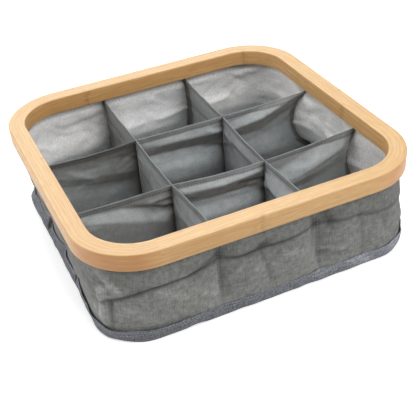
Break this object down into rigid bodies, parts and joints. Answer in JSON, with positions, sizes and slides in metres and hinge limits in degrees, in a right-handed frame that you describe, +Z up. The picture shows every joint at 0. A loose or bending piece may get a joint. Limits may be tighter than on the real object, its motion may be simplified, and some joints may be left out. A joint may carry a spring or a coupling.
{
  "type": "drawer organizer",
  "caption": "Low open organizer for a drawer: a bent bamboo rim with rounded corners over a soft grey fabric bag, divided into square cells by sewn fabric dividers. Folds flat.",
  "frame": {"origin": "on the surface that the organizer stands on, under the middle of its rim", "axes": "+X along the long side to the right, +Y towards the back, +Z up"},
  "size_m": [0.333, 0.32, 0.1],
  "materials": {
    "bamboo": "satin clear lacquer over pale bamboo",
    "bamboo_core": "satin clear lacquer over slightly darker bamboo",
    "wall_fabric": "matte linen-look polyester, mottled grey",
    "divider_fabric": "smooth blue-grey polyester",
    "lining_fabric": "smooth grey polyester",
    "tape": "ribbed woven binding tape",
    "board": "plain fibreboard",
    "strip": "extruded plastic"
  },
  "bodies": {
    "bag": {"bottom_panel": "wall_fabric", "base_board": "board", "floor_lining": "lining_fabric", "binding_tape": "tape", "side_wall": "wall_fabric", "divider_left": "divider_fabric", "divider_right": "divider_fabric", "cross_divider_back_left": "divider_fabric", "cross_divider_back_middle": "divider_fabric", "cross_divider_back_right": "divider_fabric", "cross_divider_front_left": "divider_fabric", "cross_divider_front_middle": "divider_fabric", "cross_divider_front_right": "divider_fabric"},
    "rim": {"rim_ply_outer": "bamboo", "rim_ply_second": "bamboo", "rim_ply_core": "bamboo_core", "rim_ply_fourth": "bamboo", "rim_ply_inner": "bamboo", "hem_strip": "strip"}
  },
  "joints": [
    {"name": "fold_flat", "type": "slide", "parent": "bag", "child": "rim", "axis": [0, 0, 1], "range_m": [-0.064, 0], "deforming": ["side_wall", "divider_left", "divider_right", "cross_divider_back_left", "cross_divider_back_middle", "cross_divider_back_right", "cross_divider_front_left", "cross_divider_front_middle", "cross_divider_front_right"]}
  ]
}
